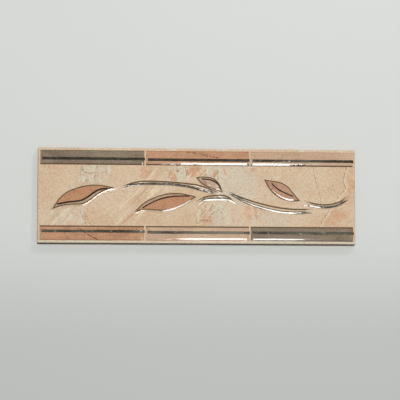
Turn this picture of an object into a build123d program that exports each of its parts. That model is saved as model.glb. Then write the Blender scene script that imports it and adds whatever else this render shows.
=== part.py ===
from build123d import *
import os

# Border tile: pressed clay strip with a rounded, glazed face. Two bands of raised glaze panels
# run along the long edges and a raised leaf sprig fills the plain field between them.
# Frame: origin at the middle of the back, +X along the length, +Y towards the upper band,
# +Z out of the glazed face. All sizes are millimetres.

# body
LENGTH = 333.0          # over the foot of the sides, where the tile is widest
WIDTH = 100.0           # over the foot of the sides
BODY_THICK = 7.6        # back to the flat field of the face
SIDE_DRAFT = 1.5        # degrees that the pressed sides lean in towards the face
CORNER_R = 1.2          # upright corners
FACE_EDGE_R = 1.0       # rounded edge round the face
BACK_EDGE = 0.5         # height of the sloped edge round the back
BACK_SLOPE = 45.0       # degrees that it leans in

# keying grooves pressed into the back, along its length
GROOVE_COUNT = 6
GROOVE_WIDE = 7.0
GROOVE_DEEP = 0.8
GROOVE_LAND = 6.0       # flat rib between two grooves
GROOVE_END = 9.0        # plain rim left at each end of the tile
GROOVE_DRAFT = 30.0     # degrees that the groove's walls lean

# bands of raised glaze panels
PANELS = 3              # panels in each band
PANEL_WIDE = 14.9       # across the band
PANEL_GAP = 1.7         # between panels
BAND_INSET = 2.9        # long edge of the tile to the band
END_INSET = 2.6         # short edge of the tile to the first panel
PANEL_RISE = 0.55
PANEL_EDGE_R = 0.35     # rounded shoulder of the glaze

# metallic stripe along each panel, printed a little off the panel towards +X
STRIPE_WIDE = 2.8
STRIPE_RISE = 0.18
STRIPE_START = 1.8      # panel's left end to the stripe
STRIPE_OVERRUN = 0.7    # stripe past the panel's right end
UPPER_STRIPE = 6.0      # inner edge of the upper band to the stripe's middle
LOWER_STRIPE = 6.2      # inner edge of the lower band to the stripe's middle

# leaf sprig
SPRIG_RISE = 0.6        # leaves and stems above the field
SHOULDER = 0.45         # how far the sides of a leaf or stem slope in
TIP_SETBACK = 1.6       # how far its pointed end slopes back
STEM_END_BULGE = 0.8    # how far a stem's blunt end is rounded out
VEIN_RISE = 0.2         # vein above its leaf
SPRIG_START = 15.0      # left end of the tile to the first leaf's tip
SPRIG_FINISH = 6.5      # last stem's tip to the right end of the tile
SPRIG_HEAD = 11.9       # upper band to the highest leaf
SPRIG_FOOT = 14.2       # lower band to the lowest stem

# The sprig's drawing, as it stands on a tile of the nominal size: for each leaf, vein and stem
# the points that its upper and its lower edge pass through, from left to right. Where the two
# edges share an end the form runs out to a tip, and elsewhere it has a round, blunt end.
LEAVES = {
    "first": {
        "upper": [(-151.5, -15.0), (-140.0, 0.5), (-125.0, 8.0), (-105.0, 11.0), (-86.5, 8.0)],
        "lower": [(-151.5, -15.0), (-142.0, -12.2), (-124.0, -10.5), (-100.0, 2.5), (-86.5, 8.0)],
    },
    "second": {
        "upper": [(-66.0, -17.5), (-58.0, -9.0), (-45.0, -1.6), (-25.0, 3.0), (-1.0, -0.8)],
        "lower": [(-66.0, -17.5), (-50.0, -15.3), (-36.0, -16.0), (-20.0, -12.0), (-1.0, -0.8)],
    },
    "third": {
        "upper": [(-1.8, 19.6), (10.0, 20.3), (20.0, 16.4), (24.6, 9.4), (26.4, 3.2)],
        "lower": [(-1.8, 19.6), (5.0, 12.8), (13.0, 9.1), (21.0, 6.0), (26.4, 3.2)],
    },
    "fourth": {
        "upper": [(69.8, 18.0), (85.0, 15.7), (95.0, 10.8), (102.0, 3.0), (108.0, -4.6)],
        "lower": [(69.8, 18.0), (75.0, 8.6), (84.0, -0.2), (95.0, -4.6), (108.0, -4.6)],
    },
}
VEINS = {
    "first": {
        "upper": [(-145.5, -9.6), (-133.0, -6.4), (-120.0, -4.2), (-102.0, 6.9), (-94.0, 6.9)],
        "lower": [(-145.5, -9.6), (-133.0, -8.0), (-120.0, -6.0), (-102.0, 5.0), (-94.0, 6.9)],
    },
    "second": {
        "upper": [(-57.0, -12.8), (-45.0, -5.1), (-25.0, 0.1), (-9.0, -0.3)],
        "lower": [(-57.0, -12.8), (-45.0, -6.7), (-25.0, -1.5), (-9.0, -0.3)],
    },
    "third": {
        "upper": [(5.0, 17.8), (14.5, 17.4), (21.8, 13.2), (24.2, 7.4)],
        "lower": [(5.0, 17.8), (14.0, 15.9), (20.6, 12.0), (24.2, 7.4)],
    },
    "fourth": {
        "upper": [(78.0, 13.6), (83.6, 9.4), (91.0, 5.1), (100.0, 0.5)],
        "lower": [(78.0, 13.6), (82.6, 8.2), (90.2, 3.7), (100.0, 0.5)],
    },
}
STEMS = {
    "high_arch": {
        "upper": [(-78.0, 10.0), (-66.0, 14.2), (-44.0, 15.6), (-12.0, 13.6), (9.0, 9.5), (22.5, 3.1)],
        "lower": [(-78.5, 7.8), (-62.0, 10.6), (-40.0, 11.3), (-10.0, 8.7), (9.0, 4.2), (22.0, 1.8)],
    },
    "low_arch": {
        "upper": [(-1.5, -6.0), (7.0, -0.8), (20.0, 1.3), (31.0, 0.4), (39.0, -6.6)],
        "lower": [(0.8, -8.8), (8.0, -5.6), (20.0, -4.5), (30.0, -4.7), (39.0, -6.6)],
    },
    "long_stem": {
        "upper": [(32.2, 5.0), (45.0, -0.2), (70.0, -7.9), (95.0, -12.2), (121.0, -12.6)],
        "lower": [(32.8, 2.8), (45.0, -4.6), (70.0, -13.7), (95.0, -18.0), (120.0, -17.2)],
    },
    "end_hook": {
        "upper": [(113.0, -4.4), (122.0, -6.4), (135.0, -7.7), (148.0, -5.0), (160.0, 1.6)],
        "lower": [(112.5, -8.6), (122.0, -10.8), (135.0, -12.0), (148.0, -9.6), (158.5, -3.2)],
    },
}

# places that follow from the sizes above
face_long = LENGTH - 2 * END_INSET
panel_long = (face_long - (PANELS - 1) * PANEL_GAP) / PANELS
panel_pitch = panel_long + PANEL_GAP
band_y = WIDTH / 2 - BAND_INSET - PANEL_WIDE / 2
field_edge = WIDTH / 2 - BAND_INSET - PANEL_WIDE
stripe_long = panel_long - STRIPE_START + STRIPE_OVERRUN
stripe_shift = (STRIPE_START + STRIPE_OVERRUN) / 2
groove_pitch = GROOVE_WIDE + GROOVE_LAND

# The drawing is fitted to the field: its own reach, and the room that it is given.
drawn = [
    point
    for form in [*LEAVES.values(), *STEMS.values()]
    for point in [*form["upper"], *form["lower"]]
]
drawn_left = min(x for x, y in drawn)
drawn_right = max(x for x, y in drawn)
drawn_low = min(y for x, y in drawn)
drawn_high = max(y for x, y in drawn)
room_left = -LENGTH / 2 + SPRIG_START
room_right = LENGTH / 2 - SPRIG_FINISH
room_low = -field_edge + SPRIG_FOOT
room_high = field_edge - SPRIG_HEAD
stretch_x = (room_right - room_left) / (drawn_right - drawn_left)
stretch_y = (room_high - room_low) / (drawn_high - drawn_low)


def fitted(form):
    """A form's upper and lower edge, moved and stretched into the room on the tile."""
    return [
        [
            (
                room_left + (x - drawn_left) * stretch_x,
                room_low + (y - drawn_low) * stretch_y,
            )
            for x, y in form[edge]
        ]
        for edge in ("upper", "lower")
    ]


def outline(upper, lower):
    """The line round a form: a spline along each edge, and an arc across each blunt end."""
    Spline(*upper)
    Spline(*lower)
    for end, bulge in ((0, STEM_END_BULGE), (-1, -STEM_END_BULGE)):
        if upper[end] != lower[end]:
            SagittaArc(lower[end], upper[end], bulge)


def towards(point, target, step):
    """The point moved by a step straight towards the target."""
    start = Vector(*point)
    moved = start + (Vector(*target) - start).normalized() * step
    return (moved.X, moved.Y)


def above_shoulder(upper, lower):
    """Both edges on top of the sloping sides: moved in, with their ends drawn back as well."""
    inner = [
        [towards(a, b, SHOULDER) if a != b else a for a, b in zip(edge, other)]
        for edge, other in ((upper, lower), (lower, upper))
    ]
    for end, beside in ((0, 1), (-1, -2)):
        middle = (Vector(*upper[beside]) + Vector(*lower[beside])) / 2
        setback = TIP_SETBACK if upper[end] == lower[end] else SHOULDER
        for edge in inner:
            edge[end] = towards(edge[end], (middle.X, middle.Y), setback)
    return inner


def glaze_pad(form):
    """One leaf or stem, raised from the flat field on sides that slope in all round."""
    foot = fitted(form)
    with BuildPart() as pad:
        for rise, edges in ((0, foot), (SPRIG_RISE, above_shoulder(*foot))):
            with BuildSketch(Plane.XY.offset(BODY_THICK + rise)):
                with BuildLine():
                    outline(*edges)
                make_face()
        loft(ruled=True)
    return pad.part


sprig = [glaze_pad(form) for form in [*LEAVES.values(), *STEMS.values()]]

with BuildPart() as tile:
    # pressed body: the sides lean in from their foot, and the back's edge slopes in below it
    with BuildSketch(Plane.XY.offset(BACK_EDGE)) as foot:
        RectangleRounded(LENGTH, WIDTH, CORNER_R)
    extrude(amount=BODY_THICK - BACK_EDGE, taper=SIDE_DRAFT)
    fillet(tile.faces().sort_by(Axis.Z)[-1].edges(), FACE_EDGE_R)
    extrude(foot.sketch, amount=-BACK_EDGE, taper=BACK_SLOPE)

    # keying grooves in the back
    with BuildSketch():
        with GridLocations(0, groove_pitch, 1, GROOVE_COUNT):
            Rectangle(LENGTH - 2 * GROOVE_END, GROOVE_WIDE)
    extrude(amount=GROOVE_DEEP, taper=GROOVE_DRAFT, mode=Mode.SUBTRACT)

    # raised panels of both bands
    with BuildSketch(Plane.XY.offset(BODY_THICK)):
        with GridLocations(panel_pitch, 2 * band_y, PANELS, 2):
            Rectangle(panel_long, PANEL_WIDE)
    extrude(amount=PANEL_RISE)
    fillet(tile.faces().group_by(Axis.Z)[-1].edges(), PANEL_EDGE_R)

    # metallic stripe on each panel
    for side, inset in ((1, UPPER_STRIPE), (-1, LOWER_STRIPE)):
        with BuildSketch(Plane.XY.offset(BODY_THICK)):
            with Locations((stripe_shift, side * (field_edge + inset))):
                with GridLocations(panel_pitch, 0, PANELS, 1):
                    Rectangle(stripe_long, STRIPE_WIDE)
        extrude(amount=PANEL_RISE + STRIPE_RISE)

    # leaves and stems
    add(sprig)

    # vein along each leaf
    for form in VEINS.values():
        with BuildSketch(Plane.XY.offset(BODY_THICK)):
            with BuildLine():
                outline(*fitted(form))
            make_face()
        extrude(amount=SPRIG_RISE + VEIN_RISE)

tile.part.label = "tile"

os.makedirs("parts", exist_ok=True)
export_step(tile.part, "parts/tile.step")
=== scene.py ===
import math

import bpy
import numpy as np
from mathutils import Matrix, Vector


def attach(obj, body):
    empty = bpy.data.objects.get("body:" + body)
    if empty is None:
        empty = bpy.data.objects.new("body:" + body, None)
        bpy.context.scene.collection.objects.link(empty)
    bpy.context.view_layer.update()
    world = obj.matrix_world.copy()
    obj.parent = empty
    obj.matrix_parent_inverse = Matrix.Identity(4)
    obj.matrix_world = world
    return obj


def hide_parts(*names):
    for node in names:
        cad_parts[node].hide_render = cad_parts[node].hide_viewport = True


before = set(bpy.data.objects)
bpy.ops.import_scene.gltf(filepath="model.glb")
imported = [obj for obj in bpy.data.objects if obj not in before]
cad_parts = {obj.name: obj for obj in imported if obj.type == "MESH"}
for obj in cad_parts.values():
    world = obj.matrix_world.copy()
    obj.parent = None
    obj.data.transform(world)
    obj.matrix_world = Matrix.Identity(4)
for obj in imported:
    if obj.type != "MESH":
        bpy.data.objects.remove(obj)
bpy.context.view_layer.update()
scene = bpy.context.scene

# Body: one pressed strip of red clay. Its sides lean in from their foot and the back has keying
# grooves. A stone-look ground glaze, sprayed on and fired, covers the face and its rounded edge.

MM = 0.001
PER_METRE = 1.0 / MM
TINY = 1e-9
HALF_LONG = 166.5
HALF_WIDE = 50.0
FACE = 7.6
FACE_EDGE = 1.0
BACK_EDGE = 0.5
CORNER = 1.2
LEAN = math.tan(math.radians(1.5))
GROOVES = 6
GROOVE_DEEP = 0.8
GROOVE_WALL = GROOVE_DEEP * math.tan(math.radians(30.0))
GROOVE_HALF = 3.5
GROOVE_PITCH = 13.0
GROOVE_REACH = 157.5
BODY_STEP = 1.0
LEAST_CORNER = 0.2
SHARP_ANGLE = 35.0
FAR = 9.0


class Term:
    """A number worked out over a surface. Arithmetic on it adds the Math nodes."""

    def __init__(self, tree, socket):
        self.tree = tree
        self.socket = socket

    def math(self, operation, *others):
        made = self.tree.nodes.new("ShaderNodeMath")
        made.operation = operation
        for place, term in enumerate((self, *others)):
            join(self.tree, term, made.inputs[place])
        return Term(self.tree, made.outputs[0])

    def __add__(self, other):
        return self.math("ADD", other)

    def __sub__(self, other):
        return self.math("SUBTRACT", other)

    def __mul__(self, other):
        return self.math("MULTIPLY", other)

    def __neg__(self):
        return self * -1.0

    def __abs__(self):
        return self.math("ABSOLUTE")

    def __rsub__(self, other):
        return -self + other

    __radd__ = __add__
    __rmul__ = __mul__

    def rise(self, start, end):
        """0 up to start and 1 from end, with a smooth step between them."""
        made = self.tree.nodes.new("ShaderNodeMapRange")
        made.interpolation_type = "SMOOTHSTEP"
        for place, term in enumerate((self, start, end)):
            join(self.tree, term, made.inputs[place])
        return Term(self.tree, made.outputs[0])

    def within(self, start, end, soft):
        """1 between start and end, and 0 outside, with soft edges of that width."""
        return self.rise(start - soft / 2, start + soft / 2) * (
            1.0 - self.rise(end - soft / 2, end + soft / 2)
        )


def join(tree, term, socket):
    """Feeds a socket from a term or sets it to a constant."""
    if isinstance(term, Term):
        tree.links.new(term.socket, socket)
    else:
        socket.default_value = term


def paint(red, green, blue):
    """A colour named by its 0 to 255 screen values, as the linear one that shaders take.

    A value v from 0 to 1 becomes ((v + 0.055) / 1.055) ** 2.4, or v / 12.92 where it is dark.
    """
    levels = [level / 255.0 for level in (red, green, blue)]
    linear = [v / 12.92 if v <= 0.04045 else ((v + 0.055) / 1.055) ** 2.4 for v in levels]
    return (*linear, 1.0)


class Finish:
    """A material: one Principled shader, its constants, and the terms that feed it."""

    # The Mix node has several sockets of one name, so its colour ones go by number.
    FACTOR, FIRST, SECOND, MIXED = 0, 6, 7, 2

    def __init__(self, name, **constants):
        self.material = bpy.data.materials.new(name)
        self.material.use_nodes = True
        self.tree = self.material.node_tree
        self.shader = self.tree.nodes["Principled BSDF"]
        for socket, value in constants.items():
            self.feed(socket.replace("_", " "), value)

    def node(self, kind, settings, inputs, output=0):
        """A node of a kind, with its settings, and its inputs as numbers or terms."""
        made = self.tree.nodes.new("ShaderNode" + kind)
        for setting, value in settings.items():
            setattr(made, setting, value)
        for socket, value in inputs.items():
            join(self.tree, value, made.inputs[socket])
        return Term(self.tree, made.outputs[output])

    def mark(self, name):
        """A value stored on the surface's points."""
        return self.node("Attribute", {"attribute_name": name}, {}, "Fac")

    def point(self):
        """The point's own place on the tile, in metres."""
        return self.node("TexCoord", {}, {}, "Object")

    def place(self, axis):
        """How far along X, Y or Z the point is, in millimetres."""
        return self.node("SeparateXYZ", {}, {"Vector": self.point()}, axis) * PER_METRE

    def noise(self, length, detail=3.0, stretch=(1.0, 1.0, 1.0), offset=0.0, turn=0.0):
        """Noise from 0 to 1 whose lumps are about that many millimetres long.

        The point is turned back by the given degrees first, so lumps stretch along that way.
        """
        back = (0.0, 0.0, math.radians(-turn))
        turned = self.node("Mapping", {}, {"Vector": self.point(), "Rotation": back})
        shift = (offset, offset, 0.0)
        moved = self.node("Mapping", {}, {"Vector": turned, "Scale": stretch, "Location": shift})
        scale = PER_METRE / length
        return self.node("TexNoise", {}, {"Vector": moved, "Scale": scale, "Detail": detail})

    def cracks(self, length, stretch=(1.0, 1.0, 1.0)):
        """Distance from the walls between cells that are about that many millimetres across.

        A stretch below 1 draws the cells out along its axis.
        """
        moved = self.node("Mapping", {}, {"Vector": self.point(), "Scale": stretch})
        settings = {"feature": "DISTANCE_TO_EDGE"}
        inputs = {"Vector": moved, "Scale": PER_METRE / length}
        return self.node("TexVoronoi", settings, inputs) * length

    def mix(self, first, second, factor):
        """First colour to second as the factor goes from 0 to 1."""
        inputs = {self.FACTOR: factor, self.FIRST: first, self.SECOND: second}
        return self.node("Mix", {"data_type": "RGBA"}, inputs, self.MIXED)

    def relief(self, height, strength, distance):
        """Fine relief on the shading alone: height is 0 to 1 and distance in millimetres."""
        inputs = {"Height": height, "Strength": strength, "Distance": distance * MM}
        self.feed("Normal", self.node("Bump", {}, inputs))

    def feed(self, socket, value):
        """Gives one of the shader's sockets its term or its constant."""
        join(self.tree, value, self.shader.inputs[socket])


def stations(stops, step):
    """Places from the first stop to the last, on every stop and at most a step apart."""
    pairs = zip(stops, stops[1:])
    spans = [np.linspace(a, b, math.ceil((b - a) / step) + 1)[:-1] for a, b in pairs]
    return np.append(np.concatenate(spans), stops[-1])


def quads_of(index):
    """The faces of a lattice of point numbers, facing +Z where x runs first and y second."""
    around = [index[:-1, :-1], index[1:, :-1], index[1:, 1:], index[:-1, 1:]]
    return np.stack(around, -1).reshape(-1, 4)


def cornered(half, corner):
    """Stops for a block's side: its ends, and places that share out its round corners evenly.

    In a corner's square they stand at corner * tan(turn), for even turns up to 45 degrees.
    """
    bend = half - corner + corner * np.tan(np.radians([0.0, 15.0, 30.0, 45.0]))
    return [*-bend[::-1], *bend]


def block(xs, ys, corner, profile, top=None, under=None):
    """Closed block on a lattice of x and y places.

    The lattice's rim repeats at each (inset, height) of the profile, from the top's rim down to
    the back's. An inset d takes a point to x (1 - d / half_x), y (1 - d / half_y), and inside
    the corner's square (a, b) goes to (a, b) max(a, b) / hypot(a, b), which rounds the corner.
    A corner's radius gets smaller by the inset, down to LEAST_CORNER of its full size. Where
    they are given, top and under add a height of x and y to the profile's first and last one.
    """
    half_x, half_y = xs[-1], ys[-1]
    grid_x, grid_y = np.meshgrid(xs, ys, indexing="ij")

    def planform(x, y, inset):
        reach_x, reach_y = half_x - inset, half_y - inset
        radius = max(corner - inset, LEAST_CORNER * corner)
        x, y = x * reach_x / half_x, y * reach_y / half_y
        a = np.clip((np.abs(x) - reach_x + radius) / radius, 0.0, None)
        b = np.clip((np.abs(y) - reach_y + radius) / radius, 0.0, None)
        turned = (a > 0) & (b > 0)
        bend = np.where(turned, np.maximum(a, b) / np.maximum(np.hypot(a, b), TINY), 1.0)
        x = np.where(turned, np.sign(x) * (reach_x - radius + radius * a * bend), x)
        y = np.where(turned, np.sign(y) * (reach_y - radius + radius * b * bend), y)
        return x, y

    def layer(x, y, inset, height, shape):
        x, y = planform(x, y, inset)
        z = np.full_like(x, height) if shape is None else height + shape(x, y)
        return np.stack([x, y, z], -1).reshape(-1, 3)

    index = np.arange(grid_x.size).reshape(grid_x.shape)
    rim = np.concatenate([index[:-1, 0], index[-1, :-1], index[:0:-1, -1], index[0, :0:-1]])
    rim_x, rim_y = grid_x.ravel()[rim], grid_y.ravel()[rim]
    layers = [layer(grid_x, grid_y, *profile[0], top)]
    rims = [rim]
    for inset, height in profile[1:-1]:
        rims.append(sum(len(made) for made in layers) + np.arange(len(rim)))
        layers.append(layer(rim_x, rim_y, inset, height, None))
    start = sum(len(made) for made in layers)
    rims.append(start + rim)
    layers.append(layer(grid_x, grid_y, *profile[-1], under))
    quads = [quads_of(index), start + quads_of(index)[:, ::-1]]
    for upper, lower in zip(rims, rims[1:]):
        quads.append(np.stack([upper, lower, np.roll(lower, -1), np.roll(upper, -1)], -1))
    return np.concatenate(layers), np.concatenate(quads)


def piece(name, points, quads, finish, **marks):
    """A mesh of the tile, from points in millimetres, that rides on the tile's body.

    A mark is a number for each point, kept on the mesh under its name for the finish to read.
    """
    mesh = bpy.data.meshes.new(name)
    mesh.from_pydata((points * MM).tolist(), [], quads.tolist())
    mesh.polygons.foreach_set("use_smooth", np.ones(len(quads), bool))
    mesh.set_sharp_from_angle(angle=math.radians(SHARP_ANGLE))
    for mark, values in marks.items():
        stored = mesh.attributes.new(mark, "FLOAT", "POINT").data
        stored.foreach_set("value", np.asarray(values, np.float32).ravel())
    mesh.materials.append(finish.material)
    made = bpy.data.objects.new(name, mesh)
    scene.collection.objects.link(made)
    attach(made, "root")
    return made


def blotch(x, y, spots):
    """The strongest of a set of tilted soft-edged ovals at each point.

    Oval (cx, cy, half length, half width, tilt, strength) is full up to 0.7 of its size and
    gone at 1.3, in the distance hypot(u / half length, v / half width) turned by the tilt.
    """
    most = np.zeros_like(x)
    for cx, cy, long, wide, tilt, strength in spots:
        turn = math.radians(tilt)
        u = (x - cx) * math.cos(turn) + (y - cy) * math.sin(turn)
        v = (y - cy) * math.cos(turn) - (x - cx) * math.sin(turn)
        reach = np.hypot(u / long, v / wide)
        most = np.maximum(most, strength * np.clip((1.3 - reach) / 0.6, 0.0, 1.0))
    return most


def beside(x, y, line):
    """Distance from a drawn line, negative on its right beside it, and nowhere more than FAR.

    It is taken from the nearest of the line's straight runs. With along and across the point's
    place from a run's start, it is hypot(across, what along goes past either end).
    """
    least, signed = np.full_like(x, FAR), np.full_like(x, FAR)
    for (ax, ay), (bx, by) in zip(line, line[1:]):
        long = math.hypot(bx - ax, by - ay)
        along = ((x - ax) * (bx - ax) + (y - ay) * (by - ay)) / long
        across = ((y - ay) * (bx - ax) - (x - ax) * (by - ay)) / long
        away = np.hypot(across, along - np.clip(along, 0.0, long))
        painted_front_shade = away < least
        least = np.where(painted_front_shade, away, least)
        signed = np.where(painted_front_shade, np.where((along < 0) | (along > long), away, across), signed)
    return signed


groove_at = (np.arange(GROOVES) - (GROOVES - 1) / 2) * GROOVE_PITCH


def keyed(x, y):
    """The back's grooves: each rises by its wall's slope to its full depth."""
    away = np.min(np.abs(y[..., None] - groove_at), -1)
    inside = np.minimum(GROOVE_HALF - away, GROOVE_REACH - np.abs(x))
    return GROOVE_DEEP * np.clip(inside / GROOVE_WALL, 0.0, 1.0)


groove_sides = [-GROOVE_HALF, -GROOVE_HALF + GROOVE_WALL, GROOVE_HALF - GROOVE_WALL, GROOVE_HALF]
groove_lines = np.add.outer(groove_at, groove_sides).ravel()
end_lines = np.array([GROOVE_REACH - GROOVE_WALL, GROOVE_REACH])
long_stops = [*-end_lines[::-1], *end_lines]
body_xs = stations(sorted([*cornered(HALF_LONG, CORNER), *long_stops]), BODY_STEP)
body_ys = stations(sorted([*cornered(HALF_WIDE, CORNER), *groove_lines]), BODY_STEP)
body_profile = []
for turn in np.radians(np.linspace(0.0, 90.0, 6)):
    height = FACE - FACE_EDGE * (1 - math.cos(turn))
    body_profile.append((LEAN * (height - BACK_EDGE) + FACE_EDGE * (1 - math.sin(turn)), height))
body_profile += [(LEAN * (z - BACK_EDGE), z) for z in (5.0, 3.0, 1.5)]
body_profile += [(0.0, BACK_EDGE), (BACK_EDGE, 0.0)]
body_points, body_quads = block(body_xs, body_ys, CORNER, body_profile, under=keyed)

# The glaze's pattern: veins are drawn lines, and patches are ovals for blotch.

PANEL_PITCH = 109.8
PANEL_HALF_WIDE = 7.45
PANEL_ROW = 39.65
INNER_EDGE = PANEL_ROW - PANEL_HALF_WIDE
OUTER_EDGE = PANEL_ROW + PANEL_HALF_WIDE
LOWER_MARGIN_CREAM = 0.75
UPPER_MARGIN_CREAM = 0.35
PAST_VEIN_ORANGE = 0.5
PAST_VEIN_WIDE = 4.0

right_vein = [
    (158.0, 33.0),
    (154.6, 20.0),
    (154.4, 15.0),
    (157.0, 9.5),
    (150.5, 1.0),
    (139.5, -13.5),
    (131.5, -26.0),
    (127.5, -34.0),
]
faint_veins = [
    [(122.0, 31.0), (122.6, 25.0), (126.0, 11.0), (128.6, 4.0), (129.5, -7.0)],
    [(-107.2, 24.0), (-106.0, 20.0), (-104.4, 16.5), (-103.0, 12.5)],
    [(-121.0, 31.5), (-120.6, 27.5), (-119.6, 25.0)],
    [(-22.5, 24.5), (-17.0, 28.5), (-12.5, 30.5)],
    [(-13.0, 31.0), (-12.0, 24.0), (-11.0, 19.0)],
    [(8.5, 30.0), (9.2, 24.0), (8.0, 19.0)],
    [(22.0, 31.0), (20.8, 24.0), (21.6, 18.0)],
    [(-31.0, 26.5), (-29.5, 20.0), (-25.5, 14.5)],
    [(9.0, -14.0), (2.5, -22.0), (-1.5, -31.0)],
    [(70.0, 4.0), (71.5, -4.0)],
]
cream_spots = [
    (-107.0, 22.0, 20.0, 11.0, 0.0, 0.35),
    (-111.0, 28.0, 6.0, 3.5, 20.0, 0.8),
    (-119.0, 20.0, 7.0, 2.0, 100.0, 0.9),
    (-125.0, 16.0, 4.0, 2.5, 20.0, 0.6),
    (-110.0, 18.0, 6.0, 1.8, 85.0, 0.8),
    (-92.5, 26.0, 6.0, 2.2, 95.0, 0.8),
    (-102.0, 16.0, 4.0, 2.0, 100.0, 0.6),
    (-130.0, 9.5, 4.0, 2.0, 115.0, 0.6),
    (-139.0, -17.0, 6.5, 2.5, 15.0, 0.9),
    (-133.0, -20.0, 7.0, 2.0, -65.0, 0.9),
    (-121.0, -20.0, 9.0, 1.8, 85.0, 0.7),
    (-121.0, -28.0, 5.0, 2.5, 10.0, 0.7),
    (-152.5, -22.0, 6.0, 1.6, 60.0, 0.8),
    (-141.0, -27.0, 5.0, 1.0, 60.0, 0.6),
    (-16.8, 22.5, 9.0, 5.0, 75.0, 1.0),
    (-36.0, 26.0, 6.0, 1.2, 60.0, 0.6),
    (12.5, 26.0, 7.0, 3.5, 80.0, 0.9),
    (23.0, 24.0, 10.0, 2.2, 95.0, 0.9),
    (27.0, 10.0, 9.0, 2.0, 105.0, 0.7),
    (40.0, 20.0, 17.0, 12.0, -20.0, 0.42),
    (52.0, 0.0, 12.0, 8.0, 90.0, 0.45),
    (3.0, -22.0, 10.0, 1.6, 65.0, 0.6),
    (22.0, -13.0, 8.0, 5.0, 80.0, 0.6),
    (31.0, -22.0, 10.0, 4.0, 100.0, 0.7),
    (85.0, 20.5, 4.0, 1.4, 40.0, 0.8),
    (100.0, 28.0, 4.0, 1.2, 70.0, 0.5),
    (78.0, -25.0, 14.0, 5.0, 0.0, 0.4),
    (60.0, 26.0, 6.0, 4.0, 0.0, 0.4),
    (-26.0, 48.5, 6.0, 2.0, 0.0, 0.8),
    (24.0, 48.5, 6.0, 2.0, 0.0, 0.8),
    (-78.0, 48.5, 10.0, 2.0, 0.0, 0.6),
    (-110.0, 48.5, 5.0, 2.0, 0.0, 0.7),
    (110.0, 48.0, 3.0, 2.0, 0.0, 0.8),
    (152.0, 48.5, 4.0, 2.0, 0.0, 0.7),
]
orange_spots = [
    (-25.6, 20.5, 7.0, 3.2, -55.0, 1.0),
    (-3.0, 25.5, 10.0, 6.5, 0.0, 0.9),
    (6.5, 24.0, 7.0, 1.6, 85.0, 1.0),
    (18.0, 23.5, 5.0, 2.2, 70.0, 0.65),
    (28.5, 26.0, 4.5, 1.0, 110.0, 0.8),
    (-54.0, 23.0, 10.0, 8.0, 60.0, 0.48),
    (-115.0, -24.0, 8.0, 2.0, -60.0, 0.6),
    (-72.0, -24.0, 10.0, 2.4, 42.0, 0.6),
    (8.5, -23.0, 8.0, 6.5, 20.0, 0.6),
    (53.5, -19.0, 12.0, 4.0, 95.0, 0.56),
    (61.0, -17.0, 9.0, 2.2, 100.0, 0.6),
    (59.0, 27.0, 5.0, 4.0, 0.0, 0.6),
    (-135.0, 24.0, 8.0, 5.0, 0.0, 0.25),
]
scratched_spots = [
    (-60.0, -8.0, 34.0, 13.0, 38.0, 1.0),
    (-2.0, 24.0, 14.0, 8.0, 20.0, 0.8),
    (-38.0, 24.0, 18.0, 8.0, 20.0, 0.9),
    (10.0, -20.0, 16.0, 10.0, 60.0, 0.7),
    (-140.0, -22.0, 18.0, 8.0, 20.0, 0.7),
]
pale_spots = [
    (44.0, 14.0, 24.0, 19.0, 80.0, 1.0),
    (20.0, 25.0, 22.0, 8.0, 0.0, 0.7),
    (24.0, -20.0, 16.0, 12.0, 90.0, 0.8),
    (75.0, -25.0, 24.0, 8.0, 0.0, 0.6),
    (-20.0, 25.0, 16.0, 7.0, 0.0, 0.6),
    (-108.0, 22.0, 20.0, 10.0, 0.0, 0.7),
    (-135.0, -22.0, 20.0, 9.0, 0.0, 0.5),
    (95.0, 10.0, 25.0, 18.0, 0.0, 0.35),
]
cracked_spots = [
    (-112.0, 22.0, 14.0, 9.0, 20.0, 1.0),
    (-94.0, 27.0, 4.0, 5.0, 0.0, 0.8),
    (-118.0, -25.0, 12.0, 6.0, -60.0, 0.9),
    (-8.0, 26.0, 22.0, 6.0, 0.0, 0.9),
    (14.0, 22.0, 12.0, 9.0, 90.0, 0.9),
    (10.0, -19.0, 12.0, 11.0, 60.0, 1.0),
    (24.0, -18.0, 7.0, 6.0, 0.0, 0.9),
    (62.0, -20.0, 12.0, 5.0, 60.0, 0.4),
    (140.0, 8.0, 6.0, 5.0, 0.0, 0.7),
]


def stone_marks(points):
    """What the ground glaze's pattern needs to know at each point of a surface.

    Beside the patches, the two margins outside the panels are creamy, the lower one more so,
    and the field turns orange over the first few millimetres to the right of the long vein.
    """
    x, y = points[:, 0], points[:, 1]
    in_margin = np.abs(y) > OUTER_EDGE
    margin = np.where(y < 0, LOWER_MARGIN_CREAM, UPPER_MARGIN_CREAM) * in_margin
    drawn = np.array(right_vein[::-1])
    past_vein = x - np.interp(y, drawn[:, 1], drawn[:, 0])
    turned = PAST_VEIN_ORANGE * np.clip(past_vein / PAST_VEIN_WIDE, 0.0, 1.0) * ~in_margin
    faint = np.full_like(x, FAR)
    for line in faint_veins:
        one = beside(x, y, line)
        faint = np.where(np.abs(one) < np.abs(faint), one, faint)
    return {
        "cream": np.maximum(blotch(x, y, cream_spots), margin),
        "pale": blotch(x, y, pale_spots),
        "orange": np.maximum(blotch(x, y, orange_spots), turned),
        "scratched": blotch(x, y, scratched_spots),
        "cracked": blotch(x, y, cracked_spots),
        "vein": beside(x, y, right_vein),
        "faint_vein": faint,
    }


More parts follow.
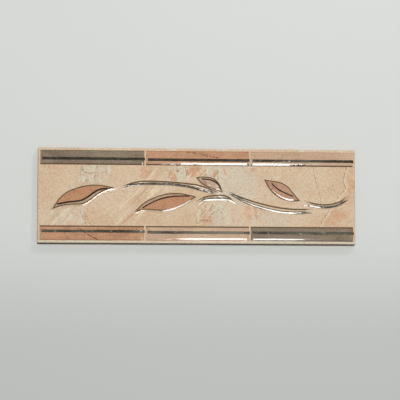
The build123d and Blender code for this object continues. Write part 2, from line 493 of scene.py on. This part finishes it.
def stone_colour(made):
    """The ground glaze's colour: tan clouds, cream and orange patches, grain and veins."""
    mottle = made.noise(4.0, 5.0)
    cloud = made.noise(38.0, 3.0, (1.0, 1.6, 1.0))
    grain = made.noise(1.35, 2.0)
    speck = made.noise(1.1, 1.0, offset=0.05)
    streak = made.noise(7.0, 4.0, (0.35, 1.0, 1.0), 0.03)
    scratch = made.noise(3.2, 4.0, (0.1, 1.0, 1.0), 0.02, 48.0)
    colour = made.mix(paint(209, 180, 149), paint(214, 191, 163), cloud.rise(0.35, 0.65))
    pale = (made.mark("pale") + (streak - 0.5) * 1.4).rise(0.15, 0.85)
    colour = made.mix(colour, paint(207, 194, 174), pale * 0.75)
    cream = (made.mark("cream") + (mottle - 0.5) * 1.7).rise(0.3, 0.7)
    colour = made.mix(colour, paint(211, 202, 178), cream)
    orange = (made.mark("orange") + (streak - 0.5) * 1.1).rise(0.35, 0.75)
    colour = made.mix(colour, paint(204, 160, 126), orange)
    scored = made.mark("scratched")
    colour = made.mix(colour, paint(230, 212, 182), scratch.rise(0.54, 0.64) * scored * 0.85)
    colour = made.mix(colour, paint(186, 152, 118), scratch.rise(0.46, 0.36) * scored * 0.55)
    colour = made.mix(colour, paint(192, 160, 128), mottle.rise(0.55, 0.72) * 0.5)
    colour = made.mix(colour, paint(184, 152, 120), grain.rise(0.54, 0.7) * 0.6)
    colour = made.mix(colour, paint(230, 212, 184), grain.rise(0.46, 0.3) * 0.45)
    broken = made.noise(2.4, 2.0, offset=0.07).rise(0.42, 0.56)
    wavering = (grain - 0.5) * 1.6 + (mottle - 0.5) * 3.0
    crackle = made.cracks(5.5, (1.0, 0.45, 1.0))
    split = (crackle + (mottle - 0.5) * 0.9).within(-0.25, 0.22, 0.25)
    split = split * made.mark("cracked") * broken
    colour = made.mix(colour, paint(140, 116, 88), split * 0.7)
    faint = (made.mark("faint_vein") + wavering).within(-0.35, 0.35, 0.5)
    colour = made.mix(colour, paint(140, 114, 86), faint * broken * 0.85)
    side = made.mark("vein") + wavering
    colour = made.mix(colour, paint(142, 114, 84), side.within(-0.6, 0.2, 0.5) * broken * 0.9)
    colour = made.mix(colour, paint(232, 214, 184), side.within(0.3, 1.2, 0.5) * 0.6)
    return made.mix(colour, paint(150, 122, 94), speck.rise(0.66, 0.74) * 0.6)


# The glaze ends on the sides a little below the face. A brown line runs along each row of
# panels, half on the ground and half under their inner edge, with a break between panels.

GLAZE_ENDS = 6.5
GLAZE_COVERS = 6.9
LINE_FROM = INNER_EDGE - 0.45
LINE_TO = INNER_EDGE + 0.4
LINE_REACH = 163.7
LINE_BREAK = 0.95

ground = Finish("ground_glaze", Specular_IOR_Level=0.15)
far_along = abs(ground.place("X"))
lump = ground.noise(5.0, 4.0)
fleck = ground.noise(1.5, 2.0)
# Bare red clay on the sides and back, its colour made darker to carry the shade on the lower side too:
# partly the clay's own colour, partly painted shade.
clay_and_shade = ground.mix(paint(134, 84, 66), paint(156, 102, 82), lump.rise(0.35, 0.7))
clay_and_shade = ground.mix(clay_and_shade, paint(104, 66, 54), fleck.rise(0.6, 0.75) * 0.6)
glazed = (ground.place("Z") + (lump - 0.5) * 0.5).rise(GLAZE_ENDS, GLAZE_COVERS)
unbroken = abs(far_along - PANEL_PITCH / 2).rise(LINE_BREAK - 0.25, LINE_BREAK)
line_end = far_along.rise(LINE_REACH + 0.3, LINE_REACH) * unbroken
ragged_y = abs(ground.place("Y")) + (fleck - 0.5) * 0.4
brown_line = ragged_y.within(LINE_FROM, LINE_TO, 0.3) * line_end
stone = ground.mix(stone_colour(ground), paint(104, 82, 58), brown_line)
ground.feed("Base Color", ground.mix(clay_and_shade, stone, glazed))
ground.feed("Roughness", 0.85 - glazed * (0.3 + 0.15 * fleck))
ground.relief(lump * 0.5 + fleck * 0.5, 0.3, 0.12)

tile_body = piece("tile_body", body_points, body_quads, ground, **stone_marks(body_points))
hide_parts("tile")

# Panels: six thick fields of coloured glaze laid on in two rows of three. The glaze draws itself
# into a soft shoulder at the rim, and a brown line is drawn along the rim that faces the sprig.

PANEL_HALF_LONG = 54.05
PANEL_CORNER = 0.3
PANEL_BASE = FACE + 0.02
PANEL_RISE = 0.55
PANEL_FOOT = 0.02
PANEL_STEP = 1.5
PANEL_WAVER = 0.12
RIM_ROUND = 3.4
RIM_STOPS = 17
SUNK = 0.2
COAT_ROUGH = 0.04
GLOSS_ROUGH = 0.08


def swell(q, power=2.0, foot=0.3):
    """How high a rim of glaze stands at share q of its width: 1 - (1 - q) ** power.

    The foot is the smooth step 3 s s - 2 s s s of s = q / foot, so the rim meets its ground in
    a narrow hollow and turns over into the top in a broad round.
    """
    s = np.clip(q / foot, 0.0, 1.0)
    q = np.clip(q, 0.0, 1.0)
    return (1.0 - (1.0 - q) ** power) * s * s * (3.0 - 2.0 * s)


def mound(lip, wide):
    """A panel's height above its base, by swell of the distance in from the lip at its rim.

    The distance is the least of those from the sides, and round a corner, with a and b what is
    left of RIM_ROUND from each side, it is RIM_ROUND less the fourth root of a ** 4 + b ** 4.
    """

    def height(x, y):
        a = np.clip(RIM_ROUND - (PANEL_HALF_LONG - np.abs(x)), 0.0, None)
        b = np.clip(RIM_ROUND - (PANEL_HALF_WIDE - np.abs(y)), 0.0, None)
        inward = RIM_ROUND - (a**4 + b**4) ** 0.25 - lip
        return PANEL_RISE * swell(inward / wide, foot=PANEL_FOOT)

    return height


def wander(x, pace, seed):
    """A slow uneven line from about -1 to 1, for edges that a hand or a screen left wavering.

    It is (sin(x / pace) + sin(x / (0.43 pace)) + 0.5 sin(x / (0.19 pace))) / 2.5, and the seed
    shifts each sine.
    """
    return (
        np.sin(x / pace + seed)
        + np.sin(x / (0.43 * pace) + 2.1 * seed)
        + 0.5 * np.sin(x / (0.19 * pace) + 3.7 * seed)
    ) / 2.5


def panel_finish(name, body, light, dark):
    """Glossy coloured glaze with faint clouds, and a brown line near the inner edge.

    In the ragged spots the coat is left off in flecks that are painted dark: painted shade where the
    rim's highlight breaks up.
    """
    made = Finish(name, Coat_Roughness=COAT_ROUGH)
    across = abs(made.place("Y")) - INNER_EDGE
    cloud = made.noise(16.0, 4.0, (0.8, 1.4, 1.0))
    grain = made.noise(1.6, 2.0)
    colour = made.mix(body, light, cloud.rise(0.5, 0.68) * 0.8)
    colour = made.mix(colour, dark, cloud.rise(0.5, 0.32) * 0.8)
    colour = made.mix(colour, dark, grain.rise(0.52, 0.68) * 0.7)
    colour = made.mix(colour, light, grain.rise(0.48, 0.32) * 0.7)
    speck = made.noise(2.2, 2.0, offset=0.04)
    colour = made.mix(colour, paint(120, 78, 58), speck.rise(0.7, 0.76) * 0.6)
    vein = (made.mark("vein") + (grain - 0.5) * 1.2).within(-0.7, 0.7, 0.5)
    colour = made.mix(colour, paint(112, 74, 58), vein * speck.rise(0.4, 0.52) * 0.8)
    line = (across + (grain - 0.5) * 0.25).within(-0.5, 1.0, 0.35)
    colour = made.mix(colour, paint(104, 82, 58), line)
    # Painted shade: dark flecks where the rim's highlight breaks up, with the coat left off there.
    broken = made.mark("ragged") * grain.rise(0.44, 0.5)
    colour = made.mix(colour, paint(52, 40, 32), broken)
    made.feed("Coat Weight", 1.0 - broken)
    made.feed("Roughness", GLOSS_ROUGH + 0.5 * broken)
    rim = (across - 2 * PANEL_HALF_WIDE).within(-0.9, 0.3, 0.5)
    colour = made.mix(colour, dark, rim * 0.8)
    made.feed("Base Color", colour)
    made.relief(made.noise(2.6, 2.0), 0.15, 0.05)
    return made


taupe = panel_finish("taupe_glaze", paint(137, 120, 101), paint(151, 135, 114), paint(117, 101, 83))
terracotta = panel_finish(
    "terracotta_glaze", paint(193, 148, 115), paint(206, 162, 127), paint(172, 124, 94)
)
light_tan = panel_finish(
    "light_tan_glaze", paint(200, 168, 141), paint(211, 181, 152), paint(184, 150, 122)
)
rim_in = RIM_ROUND * (1 - np.cos(np.linspace(0.0, np.pi / 2, RIM_STOPS)))
rim_stops = [half - rim_in for half in (PANEL_HALF_LONG, PANEL_HALF_WIDE)]
panel_xs, panel_ys = (stations([*-stops, *stops[::-1]], PANEL_STEP) for stops in rim_stops)
panel_profile = [(0.0, PANEL_BASE), (0.0, FACE - SUNK)]
panel_veins = {
    "upper_2": [(-11.0, 46.5), (0.0, 44.5), (11.0, 42.0), (22.0, 40.0)],
    "lower_1": [(-124.0, -34.0), (-120.5, -36.2), (-117.0, -39.2), (-110.0, -43.0), (-103.0, -46.8)],
}
# Spots where the rim's highlight breaks up into painted dark flecks.
ragged_spots = [(106.0, 33.1, 9.5, 1.1, 0.0, 1.0), (-3.5, 32.8, 2.2, 0.8, 0.0, 1.0)]
# Each row's side of the tile, the lip and the shoulder's width at its rim, and its glazes.
for row, side, lip, wide, finishes in (
    ("upper", 1, 0.0, 3.0, (taupe, terracotta, light_tan)),
    ("lower", -1, 0.3, 2.4, (terracotta, light_tan, taupe)),
):
    for place, finish in enumerate(finishes):
        points, quads = block(panel_xs, panel_ys, PANEL_CORNER, panel_profile, mound(lip, wide))
        points[:, 1] += PANEL_WAVER * wander(points[:, 0], 9.0, place + 3.0 * side)
        points[:, 0] += (place - 1) * PANEL_PITCH
        points[:, 1] += side * PANEL_ROW
        name = f"{row}_{place + 1}"
        vein = np.full(len(points), FAR)
        if name in panel_veins:
            vein = beside(points[:, 0], points[:, 1], panel_veins[name])
        ragged = blotch(points[:, 0], points[:, 1], ragged_spots)
        piece(f"panel_{name}", points, quads, finish, vein=vein, ragged=ragged)

# Stripes: a metallic lustre line printed along each panel before a third firing. It stands a
# little proud, its edges are ragged, and it sits slightly off the panel towards +X.

STRIPE_HALF_LONG = 53.5
STRIPE_HALF_WIDE = 1.5
STRIPE_SHIFT = 1.25
STRIPE_CORNER = 0.5
STRIPE_RISE = 0.18
STRIPE_SUNK = 0.3
STRIPE_WAVER = 0.08

lustre = Finish("lustre", Metallic=0.3, Specular_IOR_Level=0.15)
speck = lustre.noise(2.0, 3.0, (0.4, 1.0, 1.0))
sheen_streaks = lustre.noise(20.0, 3.0, (0.3, 2.0, 1.0))
worn = lustre.mark("worn")
colour = lustre.mix(paint(52, 46, 40), paint(76, 69, 58), speck.rise(0.4, 0.6))
# Painted reflection: long streaks of the lustre are painted lighter grey, the more so the greater the
# stripe's grey sheen.
colour = lustre.mix(colour, paint(136, 130, 114), (sheen_streaks + worn * 0.4).rise(0.6, 0.9) * 0.8)
# Painted glints: pale specks painted into the lustre's colour, a few more where the grey sheen is
# greater.
colour = lustre.mix(colour, paint(206, 204, 192), (speck + worn * 0.1).rise(0.7, 0.76))
lustre.feed("Base Color", colour)
lustre.feed("Roughness", 0.3 + 0.25 * speck)
lustre.relief(lustre.noise(1.2, 3.0), 0.3, 0.08)
stripe_xs = stations(cornered(STRIPE_HALF_LONG, STRIPE_CORNER), 0.8)
stripe_ys = stations(cornered(STRIPE_HALF_WIDE, STRIPE_CORNER), 0.45)
panel_top = FACE + PANEL_RISE
stripe_profile = [
    (STRIPE_CORNER * q, panel_top + STRIPE_RISE * swell(q)) for q in np.linspace(1.0, 0.0, 6)
]
stripe_profile.append((0.0, panel_top - STRIPE_SUNK))
# Each stripe's place across the tile and its grey sheen, how much of its lustre is painted lighter
# grey: a painted reflection.
for row, stripes in (
    ("upper", ((38.2, 0.0), (37.65, 0.3), (37.55, 0.45))),
    ("lower", ((-37.6, 0.65), (-38.4, 0.45), (-38.3, 0.5))),
):
    for place, (middle_y, sheen_share) in enumerate(stripes):
        points, quads = block(stripe_xs, stripe_ys, STRIPE_CORNER, stripe_profile)
        points[:, 1] += middle_y + STRIPE_WAVER * wander(points[:, 0], 3.0, place + middle_y)
        points[:, 0] += (place - 1) * PANEL_PITCH + STRIPE_SHIFT
        sheen_marks = np.full(len(points), sheen_share)
        piece(f"stripe_{row}_{place + 1}", points, quads, lustre, worn=sheen_marks)

# Sprig: four leaves and four sweeping stems, trailed on in thick glossy glaze inside a brown
# outline. Each leaf and stem is one pad whose height rises from its outline over a shoulder.

SPRIG_RISE = 0.6
SECTIONS = 170
END_TURNS = np.radians([85.0, 65.0, 45.0, 25.0])
TUCKED = 0.05
RUMPLE_HIGH = 1.0 / 7.5
RUMPLE_FROM = 0.6


def curve(points, count):
    """A smooth line through drawn points, at places spread as (1 - cos) so that ends are fine.

    It is a natural cubic spline over the points' chord lengths: the second derivatives m solve
    h[i-1] m[i-1] + 2 (h[i-1] + h[i]) m[i] + h[i] m[i+1] = 6 (slope[i] - slope[i-1]).
    """
    p = np.array(points, float)
    h = np.hypot(*np.diff(p, axis=0).T)
    t = np.append(0.0, np.cumsum(h))
    slope = np.diff(p, axis=0) / h[:, None]
    system = np.eye(len(p))
    right = np.zeros_like(p)
    for i in range(1, len(p) - 1):
        system[i, i - 1 : i + 2] = h[i - 1], 2 * (h[i - 1] + h[i]), h[i]
        right[i] = 6 * (slope[i] - slope[i - 1])
    m = np.linalg.solve(system, right)
    s = t[-1] * (1 - np.cos(np.linspace(0, np.pi, count))) / 2
    i = np.clip(np.searchsorted(t, s) - 1, 0, len(h) - 1)
    a, b, span = (t[i + 1] - s)[:, None], (s - t[i])[:, None], h[i][:, None]
    return (
        (m[i] * a**3 + m[i + 1] * b**3) / (6 * span)
        + (p[i] / span - m[i] * span / 6) * a
        + (p[i + 1] / span - m[i + 1] * span / 6) * b
    )


def away_from(points, line):
    """Distance from each point p to a line drawn through close places.

    It is the least of those to the feet a + share (b - a) on the steps from a to b, where the
    share is (p - a) . (b - a) / (b - a) ** 2, kept from 0 to 1.
    """
    a, b = line[:-1], line[1:]
    step = b - a
    long = np.maximum((step**2).sum(1), TINY)
    share = np.einsum("pij,ij->pi", points[:, None] - a, step) / long
    foot = a + np.clip(share, 0.0, 1.0)[..., None] * step
    return np.sqrt(((points[:, None] - foot) ** 2).sum(-1)).min(1)


rumpled_spots = [(19.0, 6.2, 8.5, 4.2, -30.0, 1.0), (3.0, 8.2, 14.0, 2.5, -18.0, 0.35)]


def rumple(x, y):
    """Long ripples where trailed lines run together: r h sin(2 u + 1.4 sin(v / 1.6)).

    Here u is the place across the stem's way there, v the place along it, both in millimetres,
    r the strength of the rumpled spots and h RUMPLE_HIGH.
    """
    across = 0.45 * x + 0.9 * y
    along = 0.9 * x - 0.45 * y
    ripple = np.sin(2.0 * across + 1.4 * np.sin(along / 1.6))
    return RUMPLE_HIGH * blotch(x, y, rumpled_spots) * ripple


def pad(upper, lower, rise, wide, skirt, power=2.0, foot=0.3, base=FACE, fade=0.0, across=38):
    """Closed pad over a drawn form and over a skirt round it, and what marks its points.

    Its sections run from beyond the upper edge to beyond the lower one, by 1.4 times the skirt
    and 0.1 mm more, and sections that get narrower as a half circle go on past both ends. With
    inside the distance within the outline, negative outside it, a point stands at
    base + rise swell((inside + skirt) / wide), with that power and foot, or TUCKED below the
    base past the skirt. The rise grows as share ** 0.7 over the fade's length from each end,
    the rumples are full from RUMPLE_FROM inside the outline, and each section closes underneath.
    """
    top, low = curve(upper, SECTIONS), curve(lower, SECTIONS)
    middle, half = (top + low) / 2, (top - low) / 2
    width = np.hypot(*half.T)
    way = half / np.maximum(width, TINY)[:, None]
    way[[0, -1]] = way[[1, -2]]
    margin = 1.4 * skirt + 0.1

    def beyond(end, inner, turns):
        onward = middle[end] - middle[inner]
        onward = onward / np.hypot(*onward)
        return (
            middle[end] + margin * np.sin(turns)[:, None] * onward,
            np.repeat(way[end][None], len(turns), 0),
            width[end] + margin * np.cos(turns),
        )

    sections = [
        beyond(0, 1, END_TURNS),
        (middle, way, width + margin),
        beyond(-1, -2, END_TURNS[::-1]),
    ]
    middles, ways, reach = (np.concatenate(part) for part in zip(*sections))
    offset = reach[:, None] * np.cos(np.linspace(0, np.pi, across))
    plane = middles[:, None] + ways[:, None] * offset[..., None]
    flat = plane.reshape(-1, 2)

    def signed(positive, line):
        return np.where(positive, 1.0, -1.0) * away_from(flat, line).reshape(offset.shape)

    held = np.pad(width, len(END_TURNS), "edge")[:, None]
    within = np.pad(width, len(END_TURNS), constant_values=-1.0)[:, None]
    inside = signed(np.abs(offset) <= within, np.concatenate([top, low[::-1], top[:1]]))
    ends = middle[[0, -1]]
    near = np.hypot(*(plane[:, :, None] - ends).transpose(3, 0, 1, 2)).min(-1)
    strength = np.clip(near / max(fade, TINY), 0.0, 1.0) ** 0.7
    height = base + rise * strength * swell((inside + skirt) / wide, power, foot)
    ripples = rumple(plane[..., 0], plane[..., 1]) * np.clip(inside / RUMPLE_FROM, 0.0, 1.0)
    height = np.where(inside < -skirt, base - TUCKED, height + ripples)

    def closed(rows):
        return np.concatenate([rows, rows[:, -1:], rows[:, :1]], 1)

    ring = closed(np.concatenate([plane, height[..., None]], -1))
    ring[:, -2:, 2] = base - SUNK
    index = np.arange(ring.shape[0] * ring.shape[1]).reshape(ring.shape[:2])
    quads = [quads_of(np.concatenate([index, index[:, :1]], 1))[:, ::-1]]
    for row, turn in ((index[0], 1), (index[-1], -1)):
        one, other = row[: len(row) // 2], row[::-1][: len(row) // 2]
        quads.append(np.stack([one[:-1], one[1:], other[1:], other[:-1]], 1)[:, ::turn])
    marks = {
        "inside": inside,
        "below_upper": signed(offset <= held, top),
        "above_lower": signed(-offset <= held, low),
        "from_end": near,
    }
    marks = {name: closed(values).ravel() for name, values in marks.items()}
    return ring.reshape(-1, 3), np.concatenate(quads), marks


# Each leaf's, vein's and stem's upper and lower edge, from its left end to its right one.
leaf_edges = {
    "first": (
        [(-151.5, -15.0), (-140.0, 0.5), (-125.0, 8.0), (-105.0, 11.0), (-86.5, 8.0)],
        [
            (-151.5, -15.0),
            (-141.0, -11.6),
            (-130.0, -10.2),
            (-119.0, -9.2),
            (-112.5, -6.0),
            (-103.5, 0.8),
            (-96.5, 4.6),
            (-86.5, 8.0),
        ],
    ),
    "second": (
        [(-66.0, -17.5), (-58.0, -9.0), (-45.0, -1.6), (-25.0, 3.0), (-1.0, -0.8)],
        [(-66.0, -17.5), (-59.0, -15.7), (-50.0, -15.1), (-36.0, -15.8), (-20.0, -12.0), (-1.0, -0.8)],
    ),
    "third": (
        [(-1.8, 19.6), (10.0, 20.3), (20.0, 16.4), (24.6, 9.4), (26.4, 3.2)],
        [(-1.8, 19.6), (5.0, 12.1), (13.0, 8.3), (21.0, 5.1), (26.4, 3.2)],
    ),
    "fourth": (
        [(69.8, 18.0), (79.0, 16.6), (88.5, 14.7), (95.5, 10.3), (101.0, 3.8), (108.0, -4.6)],
        [(69.8, 18.0), (75.0, 8.6), (84.0, -0.2), (95.0, -4.6), (108.0, -4.6)],
    ),
}
vein_edges = {
    "first": (
        [(-145.5, -9.6), (-133.0, -6.4), (-120.0, -4.2), (-102.0, 6.9), (-94.0, 6.9)],
        [(-145.5, -9.6), (-133.0, -8.0), (-120.0, -6.0), (-102.0, 5.0), (-94.0, 6.9)],
    ),
    "second": (
        [(-57.0, -12.8), (-45.0, -5.1), (-25.0, 0.1), (-9.0, -0.3)],
        [(-57.0, -12.8), (-45.0, -6.7), (-25.0, -1.5), (-9.0, -0.3)],
    ),
    "third": (
        [(5.0, 17.8), (14.5, 17.4), (21.8, 13.2), (24.2, 7.4)],
        [(5.0, 17.8), (14.0, 15.9), (20.6, 12.0), (24.2, 7.4)],
    ),
    "fourth": (
        [(78.0, 13.6), (83.6, 9.4), (91.0, 5.1), (100.0, 0.5)],
        [(78.0, 13.6), (82.6, 8.2), (90.2, 3.7), (100.0, 0.5)],
    ),
}
stem_edges = {
    "high_arch": (
        [(-78.0, 10.0), (-66.0, 14.2), (-44.0, 15.6), (-12.0, 13.6), (9.0, 9.5), (22.5, 3.1)],
        [(-78.5, 7.8), (-62.0, 10.6), (-40.0, 11.3), (-10.0, 8.7), (9.0, 4.2), (22.0, 1.8)],
    ),
    "low_arch": (
        [(-1.5, -6.0), (7.0, -0.8), (20.0, 1.3), (31.0, 0.4), (39.0, -6.6)],
        [(0.8, -8.8), (8.0, -5.6), (20.0, -4.5), (30.0, -4.7), (39.0, -6.6)],
    ),
    "long_stem": (
        [(32.2, 5.0), (45.0, -0.2), (70.0, -7.9), (95.0, -12.2), (121.0, -12.6)],
        [(32.8, 2.8), (45.0, -4.6), (70.0, -13.7), (95.0, -18.0), (120.0, -17.2)],
    ),
    "end_hook": (
        [(113.0, -4.4), (122.0, -6.4), (135.0, -7.7), (148.0, -5.0), (160.0, 1.6)],
        [(112.5, -8.6), (122.0, -10.8), (135.0, -12.0), (148.0, -9.6), (158.5, -3.2)],
    ),
}

LEAF_FADE = 7.0
OUTLINE_WIDE = 1.0
VEIN_BASE = FACE + SPRIG_RISE - 0.02
VEIN_RISE = 0.08
VEIN_SHOULDER = 0.7
VEIN_PLACES = 90


def trailed_relief(made):
    """Ripples in the trailed glaze, stronger where its lines cross and have run together."""
    ripple = made.noise(3.6, 2.0)
    made.relief(ripple * (0.03 + made.mark("rumpled")), 1.0, 1.6)


def leaf_finish(name, above, below, vein_half):
    """Glossy leaf: one colour above its vein and another below it, inside a brown outline."""
    made = Finish(name, Roughness=GLOSS_ROUGH, Coat_Weight=1.0, Coat_Roughness=COAT_ROUGH)
    grain = made.noise(1.6, 2.0)
    cloud = made.noise(9.0, 3.0)
    waver = (grain - 0.5) * 0.35
    inside = made.mark("inside") + waver
    fill = made.mix(below, above, made.mark("vein_side").rise(-0.3, 0.3))
    fill = made.mix(fill, paint(164, 112, 82), cloud.rise(0.52, 0.7) * 0.5)
    fill = made.mix(fill, paint(150, 102, 74), grain.rise(0.56, 0.7) * 0.4)
    fill = made.mix(fill, paint(214, 172, 138), grain.rise(0.44, 0.3) * 0.5)
    split = (made.cracks(8.0) + (grain - 0.5) * 1.6).within(-0.2, 0.2, 0.4)
    fill = made.mix(fill, paint(136, 92, 68), split * cloud.rise(0.44, 0.56) * 0.6)
    vein = (made.mark("vein_away") + waver).rise(vein_half + 0.15, vein_half - 0.2)
    fill = made.mix(fill, paint(52, 36, 28), vein)
    fill = made.mix(fill, paint(106, 84, 60), inside.rise(OUTLINE_WIDE + 0.45, OUTLINE_WIDE))
    colour = made.mix(stone_colour(made), fill, inside.rise(-0.2, 0.2))
    made.feed("Base Color", colour)
    trailed_relief(made)
    return made


dark_glaze = Finish("vein_glaze", Roughness=0.5, IOR=1.3)
cloud = dark_glaze.noise(2.0).rise(0.4, 0.7)
dark_glaze.feed("Base Color", dark_glaze.mix(paint(42, 30, 24), paint(68, 50, 38), cloud))
rich = paint(192, 142, 106)
rose = paint(190, 150, 122)
beige = paint(186, 158, 128)
pinkish = paint(194, 166, 142)
# Colour above the vein and below it, half the vein's width, then the pad's shoulder, skirt,
# power and foot.
leaf_kinds = {
    "first": (rich, beige, 0.95, 2.7, 2.1, 2.0, 0.3),
    "second": (beige, rich, 0.7, 2.7, 1.6, 2.0, 0.3),
    "third": (beige, pinkish, 0.75, 2.7, 1.4, 2.0, 0.3),
    "fourth": (rose, rose, 0.7, 4.2, 0.2, 4.0, 0.08),
}
for name, (above, below, vein_half, *shoulder) in leaf_kinds.items():
    points, quads, marks = pad(*leaf_edges[name], SPRIG_RISE, *shoulder, fade=LEAF_FADE)
    vein_upper, vein_lower = (curve(edge, VEIN_PLACES) for edge in vein_edges[name])
    middle = (vein_upper + vein_lower) / 2
    marks["vein_side"] = points[:, 1] - np.interp(points[:, 0], middle[:, 0], middle[:, 1])
    marks["vein_away"] = away_from(points[:, :2], middle)
    marks["rumpled"] = blotch(points[:, 0], points[:, 1], rumpled_spots)
    finish = leaf_finish(f"leaf_glaze_{name}", above, below, vein_half)
    piece(f"leaf_{name}", points, quads, finish, **marks, **stone_marks(points))
    points, quads, _ = pad(
        *vein_edges[name], VEIN_RISE, VEIN_SHOULDER, 0.0, base=VEIN_BASE, across=8
    )
    piece(f"vein_{name}", points, quads, dark_glaze)

# A stem has a brown line along its upper edge and a band of lustre along its lower one. Both
# narrow to nothing at its ends.

BROWN_WIDE = 1.5
STEM_TAPER = 9.0
STEM_SHOULDER = 2.4
STEM_SKIRT = 0.9
STEM_FADE = 6.0

stem_glaze = Finish(
    "stem_glaze", Roughness=GLOSS_ROUGH, Coat_Weight=1.0, Coat_Roughness=COAT_ROUGH
)
waver = (stem_glaze.noise(1.3, 2.0) - 0.5) * 0.6
run = stem_glaze.noise(6.0, 3.0)
taper = stem_glaze.mark("from_end").rise(0.0, STEM_TAPER)
below_upper = stem_glaze.mark("below_upper") + waver
above_lower = stem_glaze.mark("above_lower") + waver
past_brown = below_upper - BROWN_WIDE * taper
past_lustre = above_lower - stem_glaze.mark("lustre_wide") * taper
brown = below_upper.rise(-0.25, 0.1) * past_brown.rise(0.15, -0.15)
metal = above_lower.rise(-0.25, 0.1) * past_lustre.rise(0.15, -0.15)
colour = stem_glaze.mix(stone_colour(stem_glaze), paint(106, 84, 58), brown)
lustre_colour = stem_glaze.mix(paint(68, 62, 52), paint(116, 109, 94), run.rise(0.42, 0.65))
# Painted reflection: the stem's grey sheen paints the lustre lighter grey.
lustre_colour = stem_glaze.mix(lustre_colour, paint(134, 126, 108), stem_glaze.mark("worn"))
# Painted glints: pale flecks painted into the lustre's colour.
painted_glints = stem_glaze.noise(1.7, 2.0, (0.4, 1.0, 1.0), 0.06).rise(0.6, 0.68)
lustre_colour = stem_glaze.mix(lustre_colour, paint(206, 198, 178), painted_glints * 0.8)
colour = stem_glaze.mix(colour, lustre_colour, metal)
stem_glaze.feed("Base Color", colour)
stem_glaze.feed("Metallic", metal * 0.2)
trailed_relief(stem_glaze)
# The lustre band's width on each stem and its grey sheen, how much lighter grey its lustre is painted:
# a painted reflection.
stem_kinds = {
    "high_arch": (2.3, 0.0),
    "low_arch": (3.2, 0.8),
    "long_stem": (2.5, 0.4),
    "end_hook": (2.2, 0.3),
}
for name, (lustre_wide, worn) in stem_kinds.items():
    points, quads, marks = pad(
        *stem_edges[name], SPRIG_RISE, STEM_SHOULDER, STEM_SKIRT, fade=STEM_FADE
    )
    marks["lustre_wide"] = np.full(len(points), lustre_wide)
    marks["worn"] = np.full(len(points), worn)
    marks["rumpled"] = blotch(points[:, 0], points[:, 1], rumpled_spots)
    piece(f"stem_{name}", points, quads, stem_glaze, **marks, **stone_marks(points))

# Camera: above the tile and a little to its lower left, far enough off that the long edges
# run almost parallel. Its place, its aim and the way that is up in the picture are in the
# tile's own millimetres.

CAMERA_PLACE = np.array([-108.83, -142.17, 1564.91])
CAMERA_AIM = np.array([3.107, -3.552, 0.0])
PICTURE_UP = np.array([-0.00148, 1.0, 0.0])
FOCAL_LENGTH = 135.0
SENSOR_WIDTH = 36.0

lens = bpy.data.cameras.new("camera")
lens.lens = FOCAL_LENGTH
lens.sensor_width = SENSOR_WIDTH
lens.clip_start = 0.01
camera = bpy.data.objects.new("camera", lens)
scene.collection.objects.link(camera)
looks_along = CAMERA_AIM - CAMERA_PLACE
looks_along /= np.linalg.norm(looks_along)
rightward = np.cross(looks_along, PICTURE_UP)
rightward /= np.linalg.norm(rightward)
upright = np.cross(rightward, looks_along)
camera.location = CAMERA_PLACE * MM
turned = np.stack([rightward, upright, -looks_along], 1)
camera.rotation_mode = "QUATERNION"
camera.rotation_quaternion = Matrix(turned.tolist()).to_quaternion()
scene.camera = camera

# Studio: a pale table, a soft lamp nearly overhead, a weaker one that rakes from the upper
# right, and a long narrow light above the front, whose reflection runs along the glaze's lower
# shoulders. An even surround fills the shadows.

FLOOR_HALF = 4.0
DARKER_FROM = -20.0
DARKEST_FROM = -160.0
SURROUND_STRENGTH = 0.14

floor_mesh = bpy.data.meshes.new("floor")
floor_corners = [(x * FLOOR_HALF, y * FLOOR_HALF, 0.0) for x, y in ((-1, -1), (1, -1), (1, 1), (-1, 1))]
floor_mesh.from_pydata(floor_corners, [], [(0, 1, 2, 3)])
floor = bpy.data.objects.new("floor", floor_mesh)
scene.collection.objects.link(floor)
table_finish = Finish("table", Roughness=0.9)
# Painted shade: the table is painted darker towards the front.
painted_front_shade = table_finish.place("Y").rise(DARKER_FROM, DARKEST_FROM)
table_finish.feed(
    "Base Color", table_finish.mix(paint(213, 216, 212), paint(195, 198, 194), painted_front_shade)
)
floor_mesh.materials.append(table_finish.material)


def lamp(name, power, place, target, size_x, size_y):
    """A rectangular soft light of that size in metres, turned to its target."""
    light = bpy.data.lights.new(name, "AREA")
    light.shape = "RECTANGLE"
    light.size = size_x
    light.size_y = size_y
    light.energy = power
    made = bpy.data.objects.new(name, light)
    made.location = place
    made.rotation_mode = "QUATERNION"
    made.rotation_quaternion = (Vector(target) - Vector(place)).to_track_quat("-Z", "Y")
    scene.collection.objects.link(made)
    made.visible_camera = False
    return made


# Power in watts, then the places of the lamp and its target and its sides in metres.
overhead = lamp("overhead", 52.5, (0.0, 0.43, 2.6), (0.0, 0.0, 0.0), 0.35, 0.35)
overhead.visible_glossy = False
rake = lamp("rake", 5.3, (0.61, 1.22, 0.85), (0.0, 0.0, 0.0), 0.3, 0.3)
rake.visible_glossy = False
panel_light = lamp("panel_light", 9.0, (0.211, -0.44, 1.66), (0.211, -0.44, 0.0), 0.27, 0.92)
panel_light.visible_diffuse = False
world = bpy.data.worlds.new("surround")
world.use_nodes = True
background = world.node_tree.nodes["Background"]
background.inputs["Color"].default_value = (1.0, 1.0, 1.0, 1.0)
background.inputs["Strength"].default_value = SURROUND_STRENGTH
scene.world = world
scene.view_settings.view_transform = "Standard"
